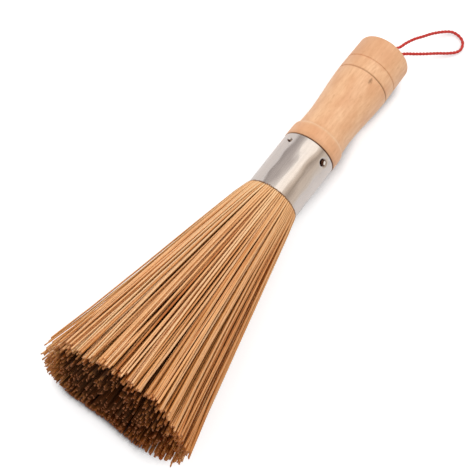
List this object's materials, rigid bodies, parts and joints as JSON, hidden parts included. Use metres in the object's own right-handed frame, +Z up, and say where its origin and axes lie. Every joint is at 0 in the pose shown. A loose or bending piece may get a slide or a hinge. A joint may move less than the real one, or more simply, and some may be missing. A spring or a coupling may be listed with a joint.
{
  "type": "pan brush",
  "caption": "Hand brush for scouring pans: a fan of split bamboo strips in a steel ferrule, nailed to a turned wooden handle with a hanging cord.",
  "frame": {"origin": "on the surface that the brush lies on, under the middle of the box around the handle, ferrule and bamboo strips", "axes": "+Z up from that surface, +Y along the brush towards the handle's end, +X to its right when seen from above with the handle pointing away"},
  "size_m": [0.0884, 0.2984, 0.0836],
  "materials": {
    "beech": "turned beech, thinly lacquered",
    "stainless_steel": "drawn tube, lightly brushed along its length",
    "nail_steel": "plain wire nail",
    "bamboo": "split bamboo, unfinished",
    "red_twine": "twisted two-ply twine"
  },
  "bodies": {
    "root": {"handle": "beech", "ferrule": "stainless_steel", "nail_1": "nail_steel", "nail_2": "nail_steel", "nail_3": "nail_steel", "nail_4": "nail_steel", "bamboo_bristles": "bamboo", "hanging_cord": "red_twine", "cord_knot": "red_twine"}
  },
  "joints": []
}
